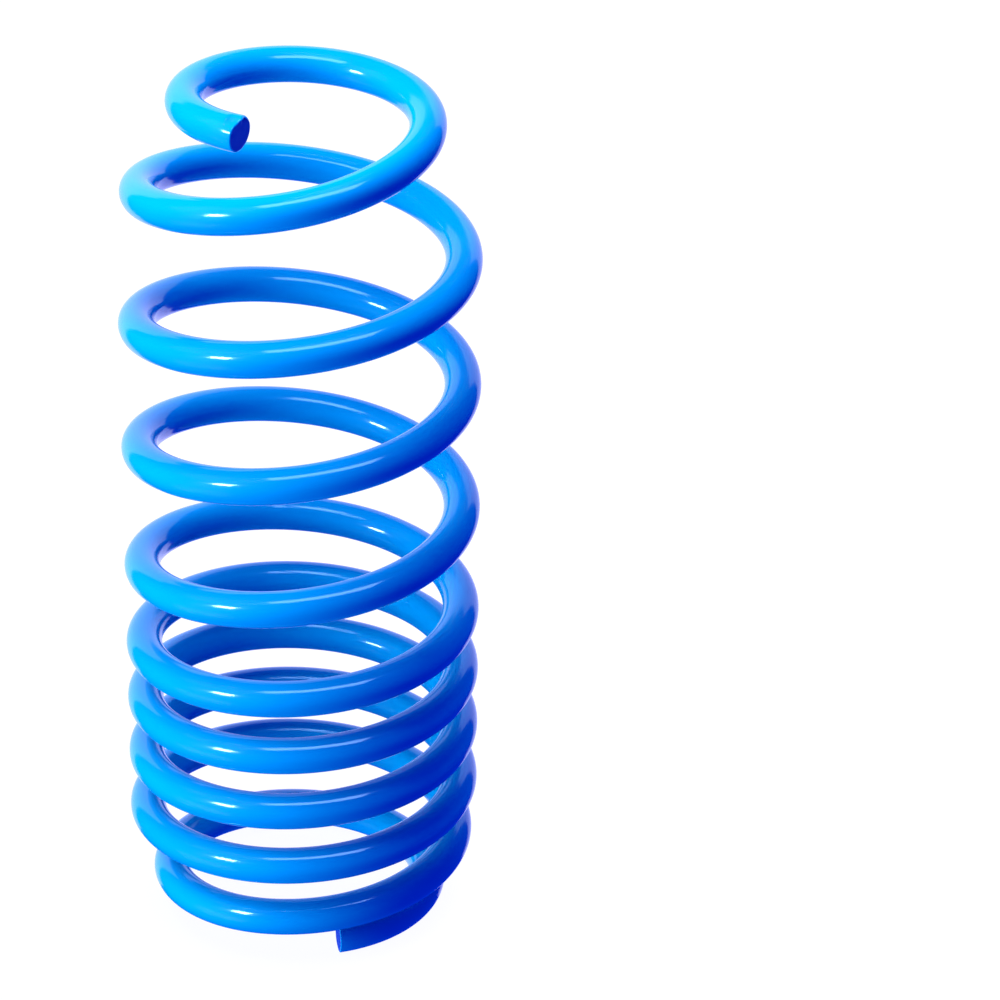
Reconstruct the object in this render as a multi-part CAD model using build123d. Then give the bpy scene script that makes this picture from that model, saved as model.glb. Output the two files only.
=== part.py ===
"""Progressive coil spring for a car's suspension: one round bar, coiled right-handed, in millimetres.

The axis is Z. The origin is on the axis, in the plane that the lower end coil stands on.
A place along the bar is given in turns, counted up from the cut end of the lower end coil.
The bar bends as the spring closes, so it is divided into arcs. Each arc is a solid of its own, and
it slides along Z against the next one on an upright cut plane that holds the axis.
"""

from build123d import *
import math
import os

# Bar and envelope
bar_diameter = 11.5
free_length = 285.0
coil_radius = 51.0  # axis to the middle of the bar, on the full-size coils

# Turns of bar in each stretch, from the lower cut end up
lower_end_turns = 1.0
close_turns = 3.75
open_turns = 4.5
upper_end_turns = 0.617
lower_cut_angle = -73.8  # degrees about Z, counterclockwise from +X

# Rise of the bar in one turn
close_pitch = 20.0
seat_turns = 0.22  # lies flat on the lower seat
seat_rise_pitch = 17.5  # reached soon after the flat stretch
first_coil_pitch = 28.0  # reached just before the first full coil
spread_turns = 1.32  # from close pitch to open pitch
last_coil_gain = 7.0  # the last full coil is this much wider than the open pitch
tail_pitch = 17.8  # where the upper end coil begins to level out
tip_pitch = 9.0  # nearer its cut end

# Turns from the lower cut end at which the pitch reaches its next value
seat_rise_turn = 0.6
first_coil_turn = 0.9
close_start_turn = 1.4

# Turns from the upper cut end at which the pitch reaches its next value
last_coil_start = 1.7
last_coil_peak = 0.85
tail_start = 0.55
tip_start = 0.3

# How the end coils draw in
lower_end_radius = 40.8
lower_draw_start = 0.28
lower_draw_turns = 1.22
upper_end_radius = 33.5
upper_tail_gain = 9.1  # widening of the upper end coil in one turn, before it opens out
upper_draw_start = 0.66
upper_draw_turns = 0.7

# Number of arcs in each stretch, so that the coils' cut planes stand above each other
lower_end_arcs = 4
close_arcs = 15
open_arcs = 27
upper_end_arcs = 4

bar_radius = bar_diameter / 2
close_end = lower_end_turns + close_turns
open_end = close_end + open_turns
total_turns = open_end + upper_end_turns
overlap_turns = 0.02  # an arc is swept this far past its cut planes before they trim it


def smooth(share):
    """Eases from 0 to 1 with no slope at either end."""
    share = min(max(share, 0.0), 1.0)
    return share * share * (3 - 2 * share)


def pitch_stations(open_pitch):
    """Pitch of the bar at chosen turns. It changes evenly from one station to the next."""
    top = total_turns
    return [
        (0.0, 0.0),
        (seat_turns, 0.0),
        (seat_rise_turn, seat_rise_pitch),
        (first_coil_turn, first_coil_pitch),
        (close_start_turn, close_pitch),
        (close_end, close_pitch),
        (close_end + spread_turns, open_pitch),
        (top - last_coil_start, open_pitch),
        (top - last_coil_peak, open_pitch + last_coil_gain),
        (top - tail_start, tail_pitch),
        (top - tip_start, tip_pitch),
        (top, 0.0),
    ]


def rise(turn, open_pitch):
    """Height of the bar's middle above its lower end, which is the pitch added up over the turns."""
    height = 0.0
    stations = pitch_stations(open_pitch)
    for (start, pitch), (end, next_pitch) in zip(stations, stations[1:]):
        reach = min(turn, end) - start
        if reach > 0:
            here = pitch + (next_pitch - pitch) * reach / (end - start)
            height += reach * (pitch + here) / 2
    return height


def open_pitch_for(height):
    """The open pitch that makes the bar's middle rise by this height in all its turns."""
    at_nothing = rise(total_turns, 0.0)
    return (height - at_nothing) / (rise(total_turns, 1.0) - at_nothing)


open_pitch = open_pitch_for(free_length - bar_diameter)


def radius_at(turn):
    """Axis to the middle of the bar."""
    lower = smooth((turn - lower_draw_start) / lower_draw_turns)
    from_top = total_turns - turn
    tail = upper_end_radius + upper_tail_gain * from_top
    upper = smooth((from_top - upper_draw_start) / upper_draw_turns)
    drawn_in = (coil_radius - lower_end_radius) * (1 - lower) + (coil_radius - tail) * (1 - upper)
    return coil_radius - drawn_in


def angle_at(turn):
    return math.radians(lower_cut_angle) + 2 * math.pi * turn


def middle_at(turn):
    """A point on the middle of the bar."""
    angle = angle_at(turn)
    radius = radius_at(turn)
    height = bar_radius + rise(turn, open_pitch)
    return Vector(radius * math.cos(angle), radius * math.sin(angle), height)


def cut_plane(turn):
    """The upright plane through the axis, facing up the bar."""
    angle = angle_at(turn)
    return Plane(
        origin=(0, 0, 0),
        x_dir=(math.cos(angle), math.sin(angle), 0),
        z_dir=(-math.sin(angle), math.cos(angle), 0),
    )


def bar_arc(first_turn, last_turn):
    """One arc of round bar, trimmed upright except at an end of the whole bar, which is square."""
    is_lower_end = first_turn <= 0
    is_upper_end = last_turn >= total_turns
    start = first_turn if is_lower_end else first_turn - overlap_turns
    end = last_turn if is_upper_end else last_turn + overlap_turns
    path = ThreePointArc(middle_at(start), middle_at((start + end) / 2), middle_at(end))
    section = Plane(origin=path @ 0, z_dir=path % 0) * Circle(bar_radius)
    arc = sweep(section, path)
    if not is_lower_end:
        arc = split(arc, bisect_by=cut_plane(first_turn), keep=Keep.TOP)
    if not is_upper_end:
        arc = split(arc, bisect_by=cut_plane(last_turn), keep=Keep.BOTTOM)
    return arc


def write_stretch(name, first_turn, last_turn, count):
    """Writes one stretch of bar as equal arcs, numbered upwards."""
    step = (last_turn - first_turn) / count
    for number in range(count):
        start = first_turn + number * step
        end = last_turn if number == count - 1 else start + step
        arc = bar_arc(start, end)
        node = f"{name}_{number + 1:02d}"
        arc.label = node
        export_step(arc, f"parts/{node}.step")
        print(f"{node}: turns {start:.3f} to {end:.3f}")


os.makedirs("parts", exist_ok=True)
write_stretch("lower_end_arc", 0.0, lower_end_turns, lower_end_arcs)
write_stretch("close_coil_arc", lower_end_turns, close_end, close_arcs)
write_stretch("open_coil_arc", close_end, open_end, open_arcs)
write_stretch("upper_end_arc", open_end, total_turns, upper_end_arcs)
print(f"open pitch {open_pitch:.2f}, outside diameter {2 * (coil_radius + bar_radius):.1f}")
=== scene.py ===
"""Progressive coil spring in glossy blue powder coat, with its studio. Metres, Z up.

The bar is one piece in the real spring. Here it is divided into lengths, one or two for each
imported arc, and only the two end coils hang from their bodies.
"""

import math

import bpy
import numpy as np
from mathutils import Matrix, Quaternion, Vector


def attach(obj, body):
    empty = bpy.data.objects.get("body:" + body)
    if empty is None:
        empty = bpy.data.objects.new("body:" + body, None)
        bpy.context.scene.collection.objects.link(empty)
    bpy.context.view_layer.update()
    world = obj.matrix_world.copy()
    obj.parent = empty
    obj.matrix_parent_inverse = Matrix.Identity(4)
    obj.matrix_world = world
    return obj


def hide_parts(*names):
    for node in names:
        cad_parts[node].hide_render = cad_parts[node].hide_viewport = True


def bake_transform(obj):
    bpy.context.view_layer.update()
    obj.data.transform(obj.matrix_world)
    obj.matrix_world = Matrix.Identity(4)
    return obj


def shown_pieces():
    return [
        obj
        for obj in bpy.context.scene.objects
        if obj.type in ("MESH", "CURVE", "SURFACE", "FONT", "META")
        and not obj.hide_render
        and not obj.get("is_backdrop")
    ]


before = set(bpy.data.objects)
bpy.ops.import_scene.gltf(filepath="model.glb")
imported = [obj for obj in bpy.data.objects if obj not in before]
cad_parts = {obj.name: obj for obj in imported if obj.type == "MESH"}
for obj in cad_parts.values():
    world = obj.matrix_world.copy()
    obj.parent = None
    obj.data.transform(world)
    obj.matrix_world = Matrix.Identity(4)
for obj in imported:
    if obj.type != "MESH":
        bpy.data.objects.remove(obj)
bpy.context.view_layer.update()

bl_info = {
    "name": "Progressive Coil Spring",
    "version": (1, 0, 0),
    "blender": (4, 5, 0),
    "location": "View3D > Sidebar > Coil Spring",
    "description": "Builds a powder-coated suspension spring and its studio",
    "category": "Object",
}

PANEL_TAB = "Coil Spring"
COAT_MATERIAL = "blue_powder_coat"
PLACE_ON_BAR = "place_on_bar"  # attribute that holds a point's place round and along the bar
CUT_SHARE = "cut_face"  # attribute that is 1 on the bar's two cut faces and 0 elsewhere

# Turns of bar in each stretch, from the lower cut end up
LOWER_END_TURNS = 1.0
CLOSE_TURNS = 3.75
OPEN_TURNS = 4.5
UPPER_END_TURNS = 0.617
CLOSE_END = LOWER_END_TURNS + CLOSE_TURNS
OPEN_END = CLOSE_END + OPEN_TURNS
TOTAL_TURNS = OPEN_END + UPPER_END_TURNS
LOWER_CUT_ANGLE = math.radians(-73.8)

# Number of arcs in each stretch
LOWER_END_ARCS = 4
CLOSE_ARCS = 15
OPEN_ARCS = 27
UPPER_END_ARCS = 4
CHANGE_TURN = CLOSE_END + OPEN_TURNS / OPEN_ARCS / 2  # where close coils hand over to open coils

# Rise of the bar in one turn
SEAT_TURNS = 0.22  # lies flat on the lower seat
SEAT_RISE_PITCH = 0.0175
FIRST_COIL_PITCH = 0.028
SPREAD_TURNS = 1.32  # from close pitch to open pitch
LAST_COIL_GAIN = 0.007  # the last full coil is this much wider than the open pitch
TAIL_PITCH = 0.0178
TIP_PITCH = 0.009
CLOSED_LOWER_PITCH = 0.0132  # the close coils' pitch once they are pressed shut
CLOSED_UPPER_PITCH = 0.0144

# Turns from the lower cut end at which the pitch reaches its next value
SEAT_RISE_TURN = 0.6
FIRST_COIL_TURN = 0.9
CLOSE_START_TURN = 1.4

# Turns from the upper cut end at which the pitch reaches its next value
LAST_COIL_START = 1.7
LAST_COIL_PEAK = 0.85
TAIL_START = 0.55
TIP_START = 0.3

# How the end coils draw in
LOWER_DRAW_START = 0.28
LOWER_DRAW_TURNS = 1.22
UPPER_TAIL_GAIN = 0.0091
UPPER_DRAW_START = 0.66
UPPER_DRAW_TURNS = 0.7

# Mesh density, and steps in which lengths and travels are added up
ROUND_POINTS = 56
RINGS_IN_TURN = 144
LENGTH_STEPS = 2000
CLOSING_STEPS = 3001
SAME_TURN = 1e-6

# The coat's surface
COAT_IOR = 1.58
HAZE = 0.025  # the roughness varies by this much either way

WHITE = (1.0, 1.0, 1.0, 1.0)


class SpringSizes(bpy.types.PropertyGroup):
    """Sizes of the bar and the coils."""

    bar_diameter: bpy.props.FloatProperty(
        name="Bar Diameter",
        description="Thickness of the round bar with its coat",
        default=0.0115,
        min=0.004,
        unit="LENGTH",
    )
    free_length: bpy.props.FloatProperty(
        name="Free Length",
        description="Height of the spring with no load on it",
        default=0.285,
        min=0.15,
        unit="LENGTH",
    )
    coil_radius: bpy.props.FloatProperty(
        name="Coil Radius",
        description="Axis to the middle of the bar on the full-size coils",
        default=0.051,
        min=0.02,
        unit="LENGTH",
    )
    lower_end_radius: bpy.props.FloatProperty(
        name="Lower End Radius",
        description="Axis to the middle of the bar at the lower cut end",
        default=0.0408,
        min=0.015,
        unit="LENGTH",
    )
    upper_end_radius: bpy.props.FloatProperty(
        name="Upper End Radius",
        description="Axis to the middle of the bar at the upper cut end",
        default=0.0335,
        min=0.015,
        unit="LENGTH",
    )
    close_pitch: bpy.props.FloatProperty(
        name="Close Pitch",
        description="Rise of the close coils in one turn",
        default=0.020,
        min=0.0145,
        unit="LENGTH",
    )


class CoatLook(bpy.types.PropertyGroup):
    """Colour and surface of the powder coat."""

    colour: bpy.props.FloatVectorProperty(
        name="Colour",
        description="Colour of the powder coat",
        default=(0.0, 0.236, 0.51),
        size=3,
        min=0.0,
        max=1.0,
        subtype="COLOR",
    )
    deep_colour: bpy.props.FloatVectorProperty(
        name="Deep Colour",
        description="Colour where the coat lies a little thicker",
        default=(0.0, 0.216, 0.485),
        size=3,
        min=0.0,
        max=1.0,
        subtype="COLOR",
    )
    # Painted shade: the sheared faces get a darker blue, both for their thin coat and for the
    # shade they lie in.
    cut_coat_and_shade_colour: bpy.props.FloatVectorProperty(
        name="Cut Face Colour",
        description="Colour of the thin coat on the sheared faces, darkened as painted shade",
        default=(0.0, 0.035, 0.36),
        size=3,
        min=0.0,
        max=1.0,
        subtype="COLOR",
    )
    cut_roughness: bpy.props.FloatProperty(
        name="Cut Face Roughness",
        description="How much rougher the sheared faces are",
        default=0.6,
        min=0.0,
        max=1.0,
        subtype="FACTOR",
    )
    roughness: bpy.props.FloatProperty(
        name="Roughness",
        description="Roughness of the smooth outer skin",
        default=0.115,
        min=0.0,
        max=1.0,
        subtype="FACTOR",
    )
    shine_tint: bpy.props.FloatVectorProperty(
        name="Shine Tint",
        description="Tint of the reflections that face the eye",
        default=(0.35, 0.62, 1.0),
        size=3,
        min=0.0,
        max=1.0,
        subtype="COLOR",
    )
    draw_mark_depth: bpy.props.FloatProperty(
        name="Draw Mark Depth",
        description="Depth of the faint lengthwise marks of the drawn bar",
        default=0.000011,
        min=0.0,
        precision=6,
        unit="LENGTH",
    )
    peel_depth: bpy.props.FloatProperty(
        name="Peel Depth",
        description="Height of the gentle waves in the coat",
        default=0.000003,
        min=0.0,
        precision=6,
        unit="LENGTH",
    )


class StudioLook(bpy.types.PropertyGroup):
    """Floor, lights and camera."""

    floor_colour: bpy.props.FloatVectorProperty(
        name="Floor Colour",
        description="Colour of the floor",
        default=(0.12, 0.12, 0.12),
        size=3,
        min=0.0,
        max=1.0,
        subtype="COLOR",
    )
    key_power: bpy.props.FloatProperty(
        name="Key Power",
        description="Power of the soft light at the upper left",
        default=6.7,
        min=0.0,
        unit="POWER",
    )
    card_power: bpy.props.FloatProperty(
        name="Left Card Power",
        description="Power of the soft light at the left",
        default=1.7,
        min=0.0,
        unit="POWER",
    )
    bounce_power: bpy.props.FloatProperty(
        name="Bounce Power",
        description="Power of the soft light that stands in for the bounce from the floor",
        default=5.4,
        min=0.0,
        unit="POWER",
    )
    top_power: bpy.props.FloatProperty(
        name="Top Power",
        description="Power of the soft light above",
        default=4.5,
        min=0.0,
        unit="POWER",
    )
    back_power: bpy.props.FloatProperty(
        name="Back Power",
        description="Power of the soft light above and behind",
        default=1.4,
        min=0.0,
        unit="POWER",
    )
    glint_power: bpy.props.FloatProperty(
        name="Glint Power",
        description="Power of the small softbox that the coat mirrors",
        default=23.0,
        min=0.0,
        unit="POWER",
    )
    strip_power: bpy.props.FloatProperty(
        name="Strip Power",
        description="Power of the panel above and behind that the coat mirrors",
        default=8.6,
        min=0.0,
        unit="POWER",
    )
    edge_power: bpy.props.FloatProperty(
        name="Edge Power",
        description="Power of the wide card behind that the coat mirrors at its edges",
        default=8.6,
        min=0.0,
        unit="POWER",
    )
    floor_power: bpy.props.FloatProperty(
        name="Floor Power",
        description="Power of the light that only the floor takes",
        default=120.0,
        min=0.0,
        unit="POWER",
    )
    floor_glow: bpy.props.FloatProperty(
        name="Floor Glow",
        description="Brightness of the floor with no light on it",
        default=0.96,
        min=0.0,
    )
    room_colour: bpy.props.FloatVectorProperty(
        name="Room Colour",
        description="Colour of the fill light from all round",
        default=(0.0, 0.055, 1.0),
        size=3,
        min=0.0,
        max=1.0,
        subtype="COLOR",
    )
    room_strength: bpy.props.FloatProperty(
        name="Room Strength",
        description="Brightness of the fill light from all round",
        default=0.88,
        min=0.0,
    )
    camera_elevation: bpy.props.FloatProperty(
        name="Camera Elevation",
        description="Angle of the camera above the horizon",
        default=math.radians(25.94),
        subtype="ANGLE",
    )
    camera_distance: bpy.props.FloatProperty(
        name="Camera Distance",
        description="Distance from the camera to the point it looks at",
        default=1.390,
        min=0.5,
        unit="LENGTH",
    )


def smooth(share):
    """Eases from 0 to 1 with no slope at either end."""
    share = np.clip(share, 0.0, 1.0)
    return share * share * (3 - 2 * share)


class BarCourse:
    """Where the bar runs. A place along it is in turns, counted up from the lower cut end."""

    def __init__(self, sizes):
        self.sizes = sizes
        self.bar_radius = sizes.bar_diameter / 2
        height = sizes.free_length - sizes.bar_diameter
        at_nothing = self.rise(TOTAL_TURNS, 0.0)
        self.open_pitch = (height - at_nothing) / (self.rise(TOTAL_TURNS, 1.0) - at_nothing)

    def stations(self, open_pitch):
        """Turns at which the pitch is set. It changes evenly from one to the next."""
        close_pitch = self.sizes.close_pitch
        top = TOTAL_TURNS
        return [
            (0.0, 0.0),
            (SEAT_TURNS, 0.0),
            (SEAT_RISE_TURN, SEAT_RISE_PITCH),
            (FIRST_COIL_TURN, FIRST_COIL_PITCH),
            (CLOSE_START_TURN, close_pitch),
            (CLOSE_END, close_pitch),
            (CLOSE_END + SPREAD_TURNS, open_pitch),
            (top - LAST_COIL_START, open_pitch),
            (top - LAST_COIL_PEAK, open_pitch + LAST_COIL_GAIN),
            (top - TAIL_START, TAIL_PITCH),
            (top - TIP_START, TIP_PITCH),
            (top, 0.0),
        ]

    def rise(self, turn, open_pitch=None):
        """Height of the bar's middle above its lower end."""
        stations = self.stations(self.open_pitch if open_pitch is None else open_pitch)
        turn = np.asarray(turn, float)
        height = np.zeros_like(turn)
        for (start, pitch), (end, next_pitch) in zip(stations, stations[1:]):
            reach = np.clip(turn, start, end) - start
            here = pitch + (next_pitch - pitch) * reach / (end - start)
            height = height + reach * (pitch + here) / 2
        return height

    def radius(self, turn):
        """Axis to the middle of the bar."""
        sizes = self.sizes
        lower = smooth((turn - LOWER_DRAW_START) / LOWER_DRAW_TURNS)
        from_top = TOTAL_TURNS - turn
        tail = sizes.upper_end_radius + UPPER_TAIL_GAIN * from_top
        upper = smooth((from_top - UPPER_DRAW_START) / UPPER_DRAW_TURNS)
        drawn_in = (sizes.coil_radius - sizes.lower_end_radius) * (1 - lower)
        return sizes.coil_radius - drawn_in - (sizes.coil_radius - tail) * (1 - upper)

    def middle(self, turn):
        """Points on the middle of the bar, one row each."""
        turn = np.asarray(turn, float)
        angle = LOWER_CUT_ANGLE + 2 * math.pi * turn
        radius = self.radius(turn)
        height = self.bar_radius + self.rise(turn)
        return np.stack([radius * np.cos(angle), radius * np.sin(angle), height], -1)

    def axes(self, turn):
        """Middle of the bar, and the directions along it, outwards and upwards, at each turn."""
        step = 1e-4
        turn = np.asarray(turn, float)
        middle = self.middle(turn)
        along = self.middle(turn + step) - self.middle(turn - step)
        along /= np.linalg.norm(along, axis=-1, keepdims=True)
        angle = LOWER_CUT_ANGLE + 2 * math.pi * turn
        outward = np.stack([np.cos(angle), np.sin(angle), np.zeros_like(angle)], -1)
        outward -= (outward * along).sum(-1, keepdims=True) * along
        outward /= np.linalg.norm(outward, axis=-1, keepdims=True)
        return middle, along, outward, np.cross(outward, along)

    def length(self, turn):
        """Length of bar from the lower cut end."""
        steps = np.linspace(0.0, TOTAL_TURNS, LENGTH_STEPS)
        legs = np.linalg.norm(np.diff(self.middle(steps), axis=0), axis=1)
        return np.interp(turn, steps, np.concatenate([[0.0], np.cumsum(legs)]))

    def closing_share(self, turn, first, last, closed_pitch):
        """How far this turn has moved, from 0 to 1, once its stretch of bar is shut."""
        steps = np.linspace(first, last, CLOSING_STEPS)
        pitch = np.gradient(self.rise(steps), steps)
        gaps = np.maximum(pitch - closed_pitch, 0)
        closing = np.concatenate([[0.0], np.cumsum(gaps[1:])])
        return float(np.interp(turn, steps, closing / closing[-1]))


# Marks of the shear at the rim of a cut face: size, angle round the bar's edge, and spread.
# Angles go from 0 on the outer side to a quarter turn on top.
EVEN_ROLL = 0.0004  # the rim is rolled over this far all round
HEAVY_ROLL = (0.0005, 2.2, 0.55)
BURR = (0.0006, 1.55, 0.18)
NOTCH = (0.0009, 1.95, 0.22)
SMALL_NOTCH = (0.0005, 0.17, 0.12)
ROLL_RINGS = 7
FACE_SHARES = (0.9, 0.8, 0.66, 0.5, 0.34, 0.18, 0.07)  # rings on the face, of the bar's radius
MARKS_START, MARKS_WIDTH = 0.55, 0.45  # share of the radius over which burr and notch come in
FACE_WAVE = 0.00008

# The flat that the blade left in the side of the bar
DENT_ANGLE, DENT_SPREAD = 1.15, 0.40
DENT_LENGTH, DENT_FADE = 0.0012, 0.0022


def mark_at(edge_angle, size, middle, spread):
    """A mark that is highest at one angle round the edge and fades to both sides."""
    return size * np.exp(-(((edge_angle - middle) / spread) ** 2))


class CutEnd:
    """Shape of one sheared end of the bar, in metres.

    A shear rolls one side over, draws the other into a burr and leaves the face leaning.
    """

    def __init__(self, lean_out, lean_up, lead, dent_depth):
        self.lean_out = lean_out
        self.lean_up = lean_up
        self.lead = lead
        self.dent_depth = dent_depth

    def lean(self, edge_angle):
        """How far out the leaning face stands at its rim."""
        sideways = self.lean_out * np.cos(edge_angle)
        return self.lead + sideways + self.lean_up * np.sin(edge_angle)

    def rings(self, edge_angle, bar_radius):
        """Rings from rim to middle: share of the radius, how far out, and share of cut face."""
        roll = EVEN_ROLL + mark_at(edge_angle, *HEAVY_ROLL)
        burr = mark_at(edge_angle, *BURR)
        notch = mark_at(edge_angle, *NOTCH) + mark_at(edge_angle, *SMALL_NOTCH)
        lean = self.lean(edge_angle)
        squeeze = 1 - self.dent(edge_angle, 0.0) / bar_radius
        rings = []
        for share in np.linspace(0.0, 1.0, ROLL_RINGS):
            turned = share * math.pi / 2
            inset = roll * (1 - math.cos(turned))
            out = -roll * (1 - math.sin(turned)) + burr * share + lean
            rings.append((squeeze - inset / bar_radius, out, 0.0))
        for share in FACE_SHARES:
            marks = (burr - notch) * smooth((share - MARKS_START) / MARKS_WIDTH)
            wave = FACE_WAVE * np.sin(edge_angle * 2 + share * 7) * share
            out = marks + wave + self.lead + (lean - self.lead) * share
            rings.append((share * squeeze, out, 1.0))
        return rings

    def dent(self, edge_angle, from_end):
        """Depth of the flat in the side of the bar, this far from the end."""
        along = 1 - smooth((from_end - DENT_LENGTH) / DENT_FADE)
        return mark_at(edge_angle, self.dent_depth, DENT_ANGLE, DENT_SPREAD) * along


LOWER_CUT = CutEnd(lean_out=0.0008, lean_up=0.0, lead=0.0006, dent_depth=0.00015)
UPPER_CUT = CutEnd(lean_out=-0.0003, lean_up=0.0005, lead=0.0002, dent_depth=0.0011)
CUT_ROOM = 0.0022  # no ring on the side stands this near a cut face
CUT_REACH = 0.0060  # rings stand closer together this near a cut face
CUT_RING_GAP = 0.0004


def ring_turns(course, first, last):
    """Turns at which a length of bar gets a ring. They stand closer together near a cut face."""
    turns = np.linspace(first, last, round((last - first) * RINGS_IN_TURN) + 1)
    turns_in_metre = (last - first) / float(course.length(last) - course.length(first))
    near_cut = np.arange(CUT_ROOM, CUT_REACH, CUT_RING_GAP) * turns_in_metre
    if first <= 0:
        beyond = turns[turns > first + near_cut[-1]]
        turns = np.concatenate([[first], first + near_cut, beyond])
    if last >= TOTAL_TURNS:
        before = turns[turns < last - near_cut[-1]]
        turns = np.concatenate([before, last - near_cut[::-1], [last]])
    return turns


def tube_faces(ring_count):
    """Faces of a closed tube: its sides ring by ring, then a fan at its lower and upper end."""
    around = [(k, (k + 1) % ROUND_POINTS) for k in range(ROUND_POINTS)]
    faces = []
    for ring in range(ring_count - 1):
        low, high = ring * ROUND_POINTS, (ring + 1) * ROUND_POINTS
        faces += [(low + k, high + k, high + n, low + n) for k, n in around]
    last_ring = (ring_count - 1) * ROUND_POINTS
    lower_middle = ring_count * ROUND_POINTS
    faces += [(lower_middle, k, n) for k, n in around]
    faces += [(lower_middle + 1, last_ring + n, last_ring + k) for k, n in around]
    return faces


def bar_piece(course, name, first, last):
    """A closed length of bar from one turn to another. The bar's own ends get a sheared face."""
    turns = ring_turns(course, first, last)
    is_lower_end, is_upper_end = first <= 0, last >= TOTAL_TURNS
    middle, along, outward, upward = course.axes(turns)
    lengths = course.length(turns)
    edge_angle = np.arange(ROUND_POINTS) * 2 * math.pi / ROUND_POINTS
    spoke_out, spoke_up = np.cos(edge_angle)[:, None], np.sin(edge_angle)[:, None]
    bar_radius = course.bar_radius
    rings, ring_normals, places, cut_shares = [], [], [], []

    def add_ring(at, share, out, cut_share, is_round):
        """One ring at a turn's index, at a share of the radius and moved along the bar."""
        spoke = spoke_out * outward[at] + spoke_up * upward[at]
        share = np.broadcast_to(share, edge_angle.shape)[:, None]
        out = np.broadcast_to(out, edge_angle.shape)[:, None]
        rings.append(middle[at] + bar_radius * share * spoke + out * along[at])
        ring_normals.append(spoke if is_round else np.full_like(spoke, np.nan))
        round_bar = bar_radius * share * np.concatenate([spoke_out, spoke_up], 1)
        places.append(np.concatenate([round_bar, lengths[at] + out], 1))
        cut_shares.append(np.full(ROUND_POINTS, cut_share))

    if is_lower_end:
        for share, out, cut_share in reversed(LOWER_CUT.rings(edge_angle, bar_radius)):
            add_ring(0, share, -out, cut_share, False)
    for at in range(int(is_lower_end), len(turns) - int(is_upper_end)):
        share, is_round = 1.0, True
        for is_end, cut, from_end in (
            (is_lower_end, LOWER_CUT, lengths[at]),
            (is_upper_end, UPPER_CUT, lengths[-1] - lengths[at]),
        ):
            if is_end and from_end < CUT_REACH:
                share = 1 - cut.dent(edge_angle, from_end) / bar_radius
                is_round = False
        add_ring(at, share, 0.0, 0.0, is_round)
    if is_upper_end:
        for share, out, cut_share in UPPER_CUT.rings(edge_angle, bar_radius):
            add_ring(len(turns) - 1, share, out, cut_share, False)

    # The middle of each end comes after the rings
    points = np.concatenate([*rings, [rings[0].mean(0)], [rings[-1].mean(0)]])
    normals = np.concatenate([*ring_normals, np.full((2, 3), np.nan)])
    places = np.concatenate([*places, [places[0].mean(0)], [places[-1].mean(0)]])
    cut_shares = np.concatenate([*cut_shares, [float(is_lower_end), float(is_upper_end)]])
    faces = tube_faces(len(rings))

    mesh = bpy.data.meshes.new(name)
    mesh.from_pydata(points.tolist(), [], faces)
    mesh.update()
    place = mesh.attributes.new(PLACE_ON_BAR, "FLOAT_VECTOR", "POINT")
    place.data.foreach_set("vector", places.astype(np.float32).ravel())
    cut_face = mesh.attributes.new(CUT_SHARE, "FLOAT", "POINT")
    cut_face.data.foreach_set("value", cut_shares.astype(np.float32))
    mesh.polygons.foreach_set("use_smooth", np.ones(len(faces), bool))
    piece = bpy.data.objects.new(name, mesh)
    bpy.context.scene.collection.objects.link(piece)
    set_normals(mesh, normals, is_lower_end, is_upper_end)
    mesh.materials.append(bpy.data.materials[COAT_MATERIAL])
    return piece


def set_normals(mesh, normals, lower_face, upper_face):
    """Gives the sides the bar's own normals, so that one length's shine runs on into the next.

    A fan that only closes a length inside the bar is flat. The last faces are the two fans.
    """
    own = np.empty(len(mesh.vertices) * 3, np.float32)
    mesh.vertices.foreach_get("normal", own)
    own = own.reshape(-1, 3)
    unset = np.isnan(normals[:, 0])
    normals = normals.copy()
    normals[unset] = own[unset]
    corners = np.empty(len(mesh.loops), np.int32)
    mesh.loops.foreach_get("vertex_index", corners)
    corner_normals = normals[corners]
    fans = mesh.polygons[-2 * ROUND_POINTS :]
    for fan, is_cut_face in ((fans[:ROUND_POINTS], lower_face), (fans[ROUND_POINTS:], upper_face)):
        if is_cut_face:
            continue
        for polygon in fan:
            start = polygon.loop_start
            corner_normals[start : start + polygon.loop_total] = polygon.normal
    mesh.normals_split_custom_set(corner_normals.tolist())


def bend_between(piece, course, first, last):
    """Bakes the piece's place into its mesh.

    The middles of the bar at its two ends are worked out at one height but not used, so the piece
    follows no body.
    """
    start, end = (course.middle(turn) for turn in (first, last))
    start[2] = end[2] = (start[2] + end[2]) / 2
    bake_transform(piece)


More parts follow.
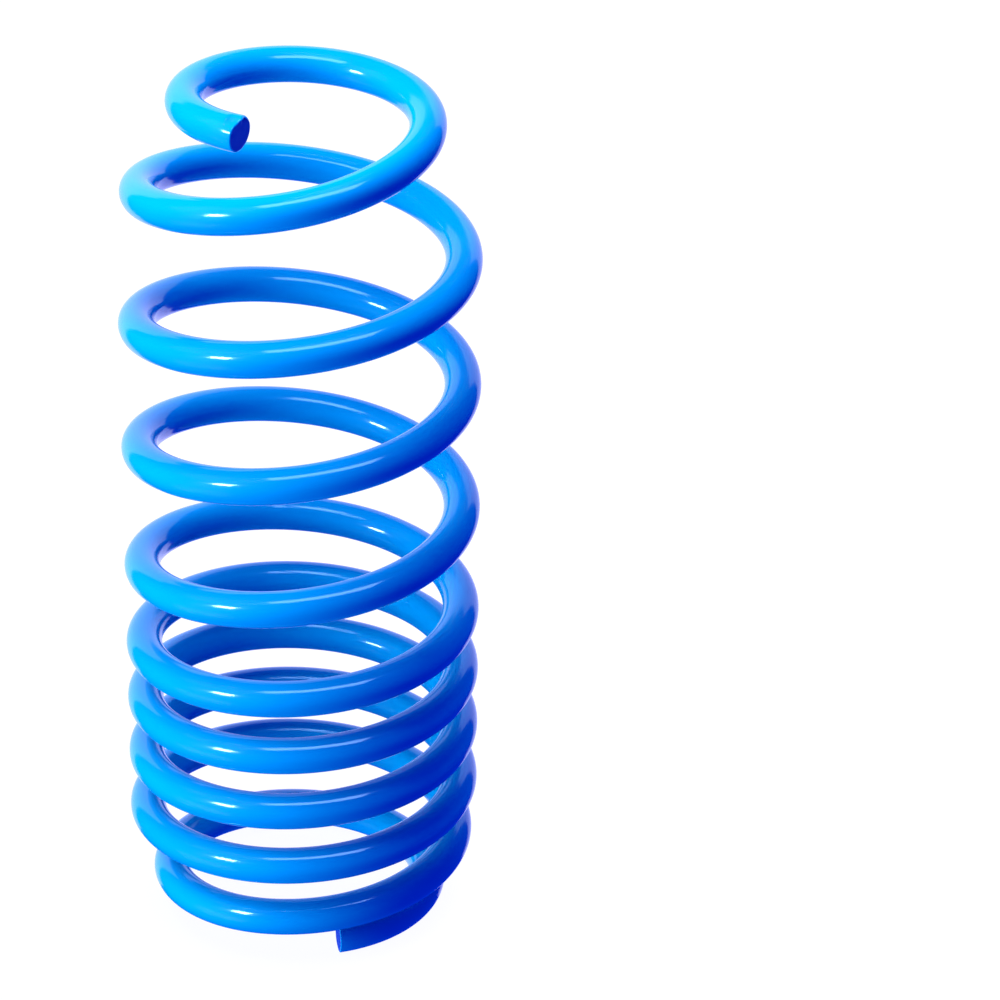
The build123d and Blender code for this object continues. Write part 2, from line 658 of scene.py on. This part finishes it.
def coat_material(look):
    """Glossy powder coat over a drawn bar."""
    if COAT_MATERIAL in bpy.data.materials:
        return
    material = bpy.data.materials.new(COAT_MATERIAL)
    material.use_nodes = True
    nodes, links = material.node_tree.nodes, material.node_tree.links
    shader = nodes["Principled BSDF"]
    place = nodes.new("ShaderNodeAttribute")
    place.attribute_name = PLACE_ON_BAR
    place.label = "Place on the bar"

    def noise(label, scale, detail, roughness, stretch=None):
        node = nodes.new("ShaderNodeTexNoise")
        node.label = label
        node.inputs["Scale"].default_value = scale
        node.inputs["Detail"].default_value = detail
        node.inputs["Roughness"].default_value = roughness
        if stretch is None:
            links.new(place.outputs["Vector"], node.inputs["Vector"])
        else:
            mapping = nodes.new("ShaderNodeMapping")
            mapping.inputs["Scale"].default_value = (1.0, 1.0, 1.0 / stretch)
            links.new(place.outputs["Vector"], mapping.inputs["Vector"])
            links.new(mapping.outputs["Vector"], node.inputs["Vector"])
        return node.outputs["Fac"]

    def bump(label, height, depth, below=None):
        node = nodes.new("ShaderNodeBump")
        node.label = label
        node.inputs["Strength"].default_value = 1.0
        node.inputs["Distance"].default_value = depth
        links.new(height, node.inputs["Height"])
        if below is not None:
            links.new(below, node.inputs["Normal"])
        return node.outputs["Normal"]

    thickness = noise("Coat thickness", scale=45.0, detail=2.0, roughness=0.5, stretch=3.0)
    colour = nodes.new("ShaderNodeValToRGB")
    colour.label = "Coat colour"
    colour.color_ramp.elements[0].position = 0.35
    colour.color_ramp.elements[0].color = (*look.deep_colour, 1.0)
    colour.color_ramp.elements[1].position = 0.65
    colour.color_ramp.elements[1].color = (*look.colour, 1.0)
    links.new(thickness, colour.inputs["Fac"])
    cut_share = nodes.new("ShaderNodeAttribute")
    cut_share.attribute_name = CUT_SHARE
    cut_share.label = "Cut face"
    # Painted shade: the cut faces are mixed to a darker blue, for their thin coat and for the
    # shade they lie in.
    darker = nodes.new("ShaderNodeMix")
    darker.label = "Thin coat and painted shade on the cut faces"
    darker.data_type = "RGBA"
    factor, front, back = (
        next(socket for socket in darker.inputs if socket.name == name and socket.enabled)
        for name in ("Factor", "A", "B")
    )
    links.new(cut_share.outputs["Fac"], factor)
    links.new(colour.outputs["Color"], front)
    back.default_value = (*look.cut_coat_and_shade_colour, 1.0)
    mixed = next(socket for socket in darker.outputs if socket.enabled)
    links.new(mixed, shader.inputs["Base Color"])

    haze = nodes.new("ShaderNodeMapRange")
    haze.label = "Skin roughness"
    haze.inputs["To Min"].default_value = look.roughness - HAZE
    haze.inputs["To Max"].default_value = look.roughness + HAZE
    links.new(noise("Haze", scale=130.0, detail=3.0, roughness=0.55), haze.inputs["Value"])
    rougher = nodes.new("ShaderNodeMath")
    rougher.label = "Rougher on the cut faces"
    rougher.operation = "MULTIPLY_ADD"
    rougher.inputs[1].default_value = look.cut_roughness
    links.new(cut_share.outputs["Fac"], rougher.inputs[0])
    links.new(haze.outputs["Result"], rougher.inputs[2])
    links.new(rougher.outputs["Value"], shader.inputs["Roughness"])

    drawn_bar = noise("Drawn bar", scale=1900.0, detail=2.0, roughness=0.6, stretch=90.0)
    draw_marks = bump("Draw marks", drawn_bar, look.draw_mark_depth)
    peel_waves = noise("Peel waves", scale=300.0, detail=1.0, roughness=0.4)
    peel = bump("Peel", peel_waves, look.peel_depth, draw_marks)
    links.new(peel, shader.inputs["Normal"])
    shader.inputs["IOR"].default_value = COAT_IOR
    shader.inputs["Specular Tint"].default_value = (*look.shine_tint, 1.0)


def build_stretch(context, stretch, node_name, first, last, count, parts, follow):
    """Builds a stretch of bar. Each packed arc is stood for by one or more pieces."""
    scene = context.scene
    course = BarCourse(scene.spring_sizes)
    coat_material(scene.coat_look)
    step = (last - first) / count
    for number in range(count):
        node = f"{node_name}_{number + 1:02d}"
        start = first + number * step
        end = last if number == count - 1 else start + step
        for part in range(parts):
            part_start = start + (end - start) * part / parts
            part_end = start + (end - start) * (part + 1) / parts
            suffix = "ab"[part] if parts > 1 else ""
            piece = bar_piece(course, f"{stretch}_{number + 1:02d}{suffix}", part_start, part_end)
            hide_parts(node)
            follow(piece, course, part_start, part_end)


def follow_coils(piece, course, first, last):
    """Works out how far the coils under a close or open coil piece have closed, but does not use
    it; the piece is only baked in place.
    """
    if last <= CHANGE_TURN + SAME_TURN:
        stretch = (LOWER_END_TURNS, CHANGE_TURN, CLOSED_LOWER_PITCH)
    else:
        stretch = (CHANGE_TURN, OPEN_END, CLOSED_UPPER_PITCH)
    shares = [course.closing_share(turn, *stretch) for turn in (first, last)]
    bend_between(piece, course, first, last)


class SPRING_OT_lower_end_coil(bpy.types.Operator):
    """Build the drawn-in coil that stands on the lower seat, with its sheared end"""

    bl_idname = "spring.lower_end_coil"
    bl_label = "Lower End Coil"

    def execute(self, context):
        def follow(piece, course, first, last):
            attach(piece, "lower_end")

        build_stretch(
            context,
            "lower_end_coil",
            "lower_end_arc",
            0.0,
            LOWER_END_TURNS,
            LOWER_END_ARCS,
            1,
            follow,
        )
        return {"FINISHED"}


class SPRING_OT_close_coils(bpy.types.Operator):
    """Build the close coils, which shut first"""

    bl_idname = "spring.close_coils"
    bl_label = "Close Coils"

    def execute(self, context):
        build_stretch(
            context,
            "close_coil",
            "close_coil_arc",
            LOWER_END_TURNS,
            CLOSE_END,
            CLOSE_ARCS,
            1,
            follow_coils,
        )
        return {"FINISHED"}


class SPRING_OT_open_coils(bpy.types.Operator):
    """Build the widely spaced coils"""

    bl_idname = "spring.open_coils"
    bl_label = "Open Coils"

    def execute(self, context):
        build_stretch(
            context,
            "open_coil",
            "open_coil_arc",
            CLOSE_END,
            OPEN_END,
            OPEN_ARCS,
            2,
            follow_coils,
        )
        return {"FINISHED"}


class SPRING_OT_upper_end_coil(bpy.types.Operator):
    """Build the pigtail at the top, with its sheared end"""

    bl_idname = "spring.upper_end_coil"
    bl_label = "Upper End Coil"

    def execute(self, context):
        def follow(piece, course, first, last):
            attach(piece, "upper_end")

        build_stretch(
            context,
            "upper_end_coil",
            "upper_end_arc",
            OPEN_END,
            TOTAL_TURNS,
            UPPER_END_ARCS,
            1,
            follow,
        )
        return {"FINISHED"}


FLOOR_FLAT_RADIUS = 2.6
FLOOR_RIM_RADIUS = 3.6
FLOOR_RIM_HEIGHT = 1.6
FLOOR_RING_SHARES = (0.05, 0.2, 0.5, 0.8, 1.0)
FLOOR_RIM_STEPS = 16
FLOOR_POINTS = 96
FLOOR_LIGHT_HEIGHT = 3.0
FLOOR_LIGHT_SIZE = 4.0
AIM_HEIGHT = 0.1496  # the lights and the camera face this height on the spring's axis
CAMERA_LENS = 157.7
CAMERA_SENSOR = 36.0
CAMERA_SHIFT = (0.1988, -0.0179)
CAMERA_TILT = math.radians(-0.44)
CAMERA_REACH = 20.0

# Each light's direction (degrees counterclockwise from +X, and above the horizon), distance, width
# and depth. The coat takes plain light from the soft ones and mirrors the others.
SOFT_LIGHTS = {
    "key_softbox": (195, 45, 0.65, 0.50, 0.35),
    "left_card": (210, 12, 0.65, 0.30, 0.30),
    "floor_bounce": (205, -25, 0.65, 0.40, 0.30),
    "top_softbox": (0, 90, 0.65, 0.25, 0.25),
    "back_softbox": (60, 45, 0.65, 0.25, 0.25),
}
MIRRORED_LIGHTS = {
    "glint_softbox": (213, 24, 1.60, 0.34, 0.28),
    "strip_panel": (270, 71, 1.20, 1.00, 0.32),
    "back_card": (90, -2, 1.00, 1.87, 1.70),
}


def floor_sweep(look):
    """A round floor whose rim curves up, so that no horizon shows from any side."""
    profile = [(FLOOR_FLAT_RADIUS * share, 0.0) for share in FLOOR_RING_SHARES]
    bend = FLOOR_RIM_RADIUS - FLOOR_FLAT_RADIUS
    for step in range(1, FLOOR_RIM_STEPS + 1):
        lean = step / FLOOR_RIM_STEPS * math.pi / 2
        height = bend * (1 - math.cos(lean))
        profile.append((FLOOR_FLAT_RADIUS + bend * math.sin(lean), height))
    profile.append((FLOOR_RIM_RADIUS, FLOOR_RIM_HEIGHT))
    points = [(0.0, 0.0, 0.0)]
    for radius, height in profile:
        for k in range(FLOOR_POINTS):
            angle = 2 * math.pi * k / FLOOR_POINTS
            points.append((radius * math.cos(angle), radius * math.sin(angle), height))
    around = [(k, (k + 1) % FLOOR_POINTS) for k in range(FLOOR_POINTS)]
    faces = [(0, 1 + k, 1 + n) for k, n in around]
    for ring in range(len(profile) - 1):
        low, high = 1 + ring * FLOOR_POINTS, 1 + (ring + 1) * FLOOR_POINTS
        faces += [(low + k, high + k, high + n, low + n) for k, n in around]
    mesh = bpy.data.meshes.new("studio_floor")
    mesh.from_pydata(points, [], faces)
    mesh.polygons.foreach_set("use_smooth", np.ones(len(faces), bool))
    mesh.update()
    material = bpy.data.materials.new("studio_floor_paint")
    material.use_nodes = True
    nodes, links = material.node_tree.nodes, material.node_tree.links
    shader = nodes["Principled BSDF"]
    shader.inputs["Roughness"].default_value = 0.9
    shader.inputs["Specular IOR Level"].default_value = 0.1
    shader.inputs["Emission Color"].default_value = WHITE
    shader.inputs["Emission Strength"].default_value = look.floor_glow
    mottle = nodes.new("ShaderNodeTexNoise")
    mottle.inputs["Scale"].default_value = 3.0
    paint = nodes.new("ShaderNodeValToRGB")
    darker = [0.98 * part for part in look.floor_colour]
    paint.color_ramp.elements[0].color = (*darker, 1.0)
    paint.color_ramp.elements[1].color = (*look.floor_colour, 1.0)
    links.new(mottle.outputs["Fac"], paint.inputs["Fac"])
    links.new(paint.outputs["Color"], shader.inputs["Base Color"])
    mesh.materials.append(material)
    floor = bpy.data.objects.new("studio_floor", mesh)
    bpy.context.scene.collection.objects.link(floor)
    floor.visible_diffuse = False
    floor.visible_glossy = False
    floor.visible_shadow = False
    floor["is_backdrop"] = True
    return floor


def panel_light(name, direction, distance, width, depth, power):
    """A flat light that faces the middle of the spring from a direction."""
    light = bpy.data.lights.new(name, "AREA")
    light.shape = "RECTANGLE"
    light.size, light.size_y = width, depth
    light.energy = power
    panel = bpy.data.objects.new(name, light)
    toward = Vector(direction).normalized()
    panel.location = Vector((0.0, 0.0, AIM_HEIGHT)) + toward * distance
    panel.rotation_mode = "QUATERNION"
    panel.rotation_quaternion = toward.to_track_quat("Z", "Y")
    bpy.context.scene.collection.objects.link(panel)
    panel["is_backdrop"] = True
    return panel


def only_lights(panel, objects):
    """Makes a light fall on these objects alone."""
    takers = bpy.data.collections.new(f"{panel.name}_takers")
    for taker in objects:
        takers.objects.link(taker)
    panel.light_linking.receiver_collection = takers


def light_spring(spring, placing, powers, is_mirrored):
    """Places lights that fall on the spring alone, either mirrored in the coat or not."""
    for (name, (turn, lift, distance, width, depth)), power in zip(placing.items(), powers):
        turn, lift = math.radians(turn), math.radians(lift)
        level = math.cos(lift)
        direction = (level * math.cos(turn), level * math.sin(turn), math.sin(lift))
        panel = panel_light(name, direction, distance, width, depth, power)
        panel.visible_glossy = is_mirrored
        panel.visible_diffuse = not is_mirrored
        only_lights(panel, spring)


def place_camera(scene, look):
    """A long lens in front of the spring and above it, which looks down on it."""
    lens = bpy.data.cameras.new("camera")
    lens.lens = CAMERA_LENS
    lens.sensor_width = CAMERA_SENSOR
    lens.shift_x, lens.shift_y = CAMERA_SHIFT
    lens.clip_end = CAMERA_REACH
    camera = bpy.data.objects.new("camera", lens)
    elevation = look.camera_elevation
    back = Vector((0.0, -math.cos(elevation), math.sin(elevation)))
    camera.location = Vector((0.0, 0.0, AIM_HEIGHT)) + back * look.camera_distance
    camera.rotation_mode = "QUATERNION"
    tilt = Quaternion((0, 0, 1), CAMERA_TILT)
    camera.rotation_quaternion = back.to_track_quat("Z", "Y") @ tilt
    scene.collection.objects.link(camera)
    scene.camera = camera


class SPRING_OT_studio(bpy.types.Operator):
    """Build the floor, the lights and the camera"""

    bl_idname = "spring.studio"
    bl_label = "Studio"

    def execute(self, context):
        scene = context.scene
        look = scene.studio_look
        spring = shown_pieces()
        floor = floor_sweep(look)
        soft_powers = (
            look.key_power,
            look.card_power,
            look.bounce_power,
            look.top_power,
            look.back_power,
        )
        light_spring(spring, SOFT_LIGHTS, soft_powers, is_mirrored=False)
        mirrored_powers = (look.glint_power, look.strip_power, look.edge_power)
        light_spring(spring, MIRRORED_LIGHTS, mirrored_powers, is_mirrored=True)
        from_above = (0.0, 0.0, 1.0)
        width = depth = FLOOR_LIGHT_SIZE
        wash = panel_light(
            "floor_light", from_above, FLOOR_LIGHT_HEIGHT, width, depth, look.floor_power
        )
        only_lights(wash, [floor])

        world = bpy.data.worlds.new("studio_room")
        world.use_nodes = True
        room = world.node_tree.nodes["Background"]
        room.inputs["Color"].default_value = (*look.room_colour, 1.0)
        room.inputs["Strength"].default_value = look.room_strength
        scene.world = world
        scene.view_settings.view_transform = "Standard"
        place_camera(scene, look)
        return {"FINISHED"}


class SPRING_PT_panel(bpy.types.Panel):
    """Lists the sizes, looks and builders of the spring"""

    bl_label = "Coil Spring"
    bl_idname = "SPRING_PT_panel"
    bl_space_type = "VIEW_3D"
    bl_region_type = "UI"
    bl_category = PANEL_TAB

    def draw(self, context):
        scene = context.scene
        for group in (scene.spring_sizes, scene.coat_look, scene.studio_look):
            box = self.layout.box()
            for key in group.bl_rna.properties.keys():
                if key not in {"rna_type", "name"}:
                    box.prop(group, key)
        for operator in OPERATORS:
            self.layout.operator(operator.bl_idname)


OPERATORS = (
    SPRING_OT_lower_end_coil,
    SPRING_OT_close_coils,
    SPRING_OT_open_coils,
    SPRING_OT_upper_end_coil,
    SPRING_OT_studio,
)
CLASSES = (SpringSizes, CoatLook, StudioLook, *OPERATORS, SPRING_PT_panel)


def register():
    for entry in CLASSES:
        bpy.utils.register_class(entry)
    bpy.types.Scene.spring_sizes = bpy.props.PointerProperty(type=SpringSizes)
    bpy.types.Scene.coat_look = bpy.props.PointerProperty(type=CoatLook)
    bpy.types.Scene.studio_look = bpy.props.PointerProperty(type=StudioLook)


def unregister():
    del bpy.types.Scene.studio_look
    del bpy.types.Scene.coat_look
    del bpy.types.Scene.spring_sizes
    for entry in reversed(CLASSES):
        bpy.utils.unregister_class(entry)


def main():
    """Builds everything in order."""
    register()
    bpy.ops.spring.lower_end_coil()
    bpy.ops.spring.close_coils()
    bpy.ops.spring.open_coils()
    bpy.ops.spring.upper_end_coil()
    bpy.ops.spring.studio()


if __name__ == "__main__":
    main()
